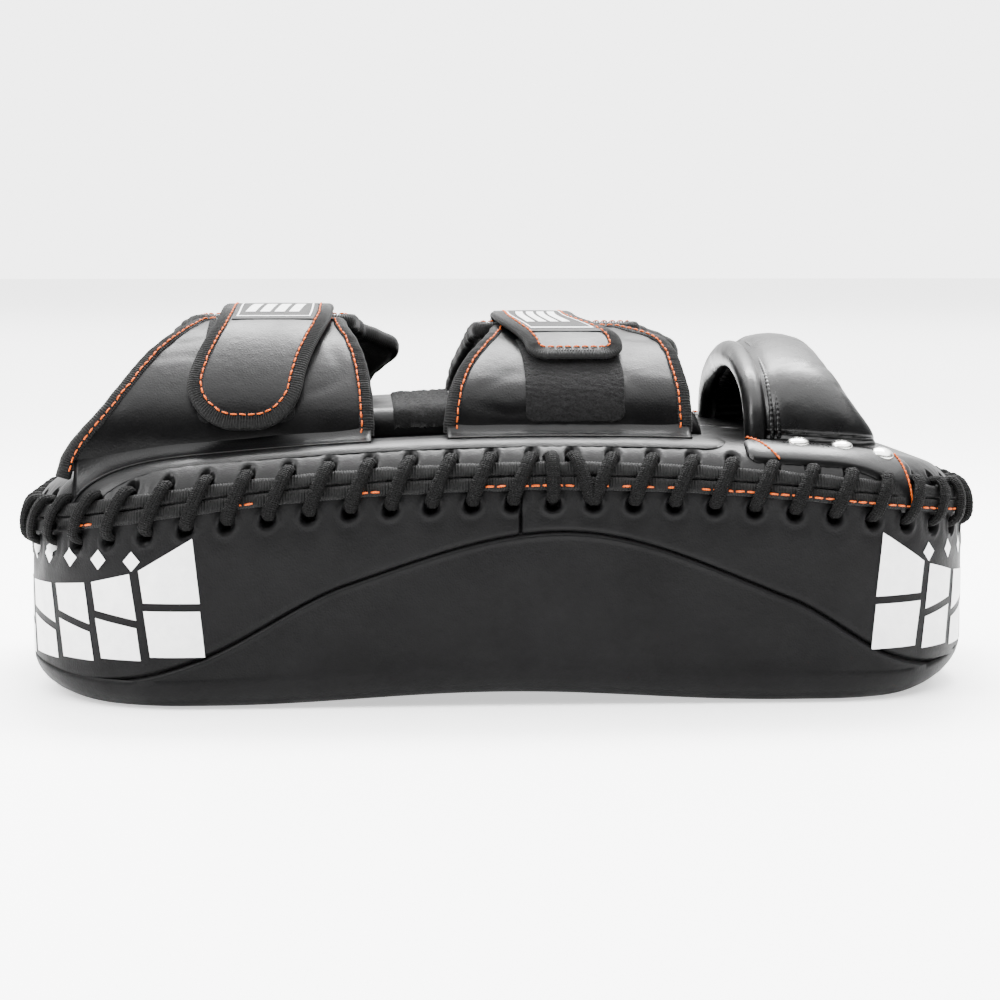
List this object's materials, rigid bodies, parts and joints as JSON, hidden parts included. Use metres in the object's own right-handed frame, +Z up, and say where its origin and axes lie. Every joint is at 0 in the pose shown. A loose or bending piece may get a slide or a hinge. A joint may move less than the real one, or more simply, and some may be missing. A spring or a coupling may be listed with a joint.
{
  "type": "kick pad",
  "caption": "Curved laced kick pad with a raised forearm rest, two padded hook-and-loop forearm cuffs and a padded hand grip on its back.",
  "frame": {"origin": "centre of the bounding box on the plane that the striking face rests on", "axes": "+X along the pad from the cuffs to the hand grip, +Y across the pad towards the straps' sewn ends, +Z up from the striking face through the back"},
  "size_m": [0.4127, 0.2122, 0.1616],
  "materials": {
    "cover_leather": "satin",
    "panel_leather": "satin",
    "back_leather": "satin",
    "flap_leather": "satin",
    "strap_leather": "satin",
    "grip_leather": "satin",
    "lining_cloth": "matte",
    "binding_tape": "matte",
    "lace_braid": "matte",
    "foam": "matte",
    "loop_pile": "matte",
    "hook_tape": "matte",
    "woven_label": "satin",
    "dark_rivet": "satin"
  },
  "bodies": {
    "pad": {"foam_face_layer": "foam", "foam_core_layer": "foam", "foam_back_layer": "foam", "striking_face_cover": "cover_leather", "side_panel_left": "panel_leather", "side_panel_right": "panel_leather", "back_cover": "back_leather", "side_binding_tape": "binding_tape", "back_binding_tape": "binding_tape", "lacing_cord": "lace_braid", "forearm_rest_foam": "foam", "forearm_rest_cover": "back_leather", "rest_loop_strip": "loop_pile", "flap_strip_near": "binding_tape", "flap_strip_far": "binding_tape", "handle_core": "foam", "handle_cover": "grip_leather", "handle_lining": "lining_cloth", "handle_rim_roll": "grip_leather", "handle_piping": "grip_leather", "handle_flange_near": "grip_leather", "handle_flange_far": "grip_leather", "handle_rivets": "dark_rivet", "handle_rivet_washers": "dark_rivet"},
    "near_flap_a": {"near_flap_a_leather": "flap_leather", "near_flap_a_foam": "foam", "near_flap_a_lining": "lining_cloth", "near_flap_a_binding": "binding_tape", "loop_patch_a": "loop_pile"},
    "far_flap_a": {"far_flap_a_leather": "flap_leather", "far_flap_a_foam": "foam", "far_flap_a_lining": "lining_cloth", "far_flap_a_binding": "binding_tape", "strap_a_anchor": "strap_leather"},
    "strap_a": {"strap_a_tab": "strap_leather", "strap_a_binding": "binding_tape", "strap_a_hook_patch": "hook_tape", "strap_a_label": "woven_label"},
    "near_flap_b": {"near_flap_b_leather": "flap_leather", "near_flap_b_foam": "foam", "near_flap_b_lining": "lining_cloth", "near_flap_b_binding": "binding_tape", "loop_patch_b": "loop_pile"},
    "far_flap_b": {"far_flap_b_leather": "flap_leather", "far_flap_b_foam": "foam", "far_flap_b_lining": "lining_cloth", "far_flap_b_binding": "binding_tape", "strap_b_anchor": "strap_leather"},
    "strap_b": {"strap_b_tab": "strap_leather", "strap_b_binding": "binding_tape", "strap_b_hook_patch": "hook_tape", "strap_b_label": "woven_label"}
  },
  "joints": [
    {"name": "near_flap_a_open", "type": "hinge", "parent": "pad", "child": "near_flap_a", "pos_m": [-0.12, -0.0724, 0.10365], "axis": [0.9956, 0, 0.0932], "range_deg": [0, 37.5]},
    {"name": "far_flap_a_open", "type": "hinge", "parent": "pad", "child": "far_flap_a", "pos_m": [-0.12, 0.0724, 0.10365], "axis": [-0.9956, 0, -0.0932], "range_deg": [0, 60]},
    {"name": "strap_a_peel", "type": "hinge", "parent": "far_flap_a", "child": "strap_a", "pos_m": [-0.0955, 0.01, 0.16073], "axis": [-1, 0, 0], "range_deg": [0, 150]},
    {"name": "near_flap_b_open", "type": "hinge", "parent": "pad", "child": "near_flap_b", "pos_m": [0.02, -0.0724, 0.1102], "axis": [1, 0, 0], "range_deg": [0, 37.5]},
    {"name": "far_flap_b_open", "type": "hinge", "parent": "pad", "child": "far_flap_b", "pos_m": [0.02, 0.0724, 0.1102], "axis": [-1, 0, 0], "range_deg": [0, 60]},
    {"name": "strap_b_peel", "type": "hinge", "parent": "far_flap_b", "child": "strap_b", "pos_m": [0.0155, 0.01, 0.15733], "axis": [-1, 0, 0], "range_deg": [0, 150]}
  ],
  "couplings": [
    {"joint": "near_flap_a_open", "follows": "strap_a_peel", "ratio": 0.25},
    {"joint": "near_flap_b_open", "follows": "strap_b_peel", "ratio": 0.25}
  ]
}
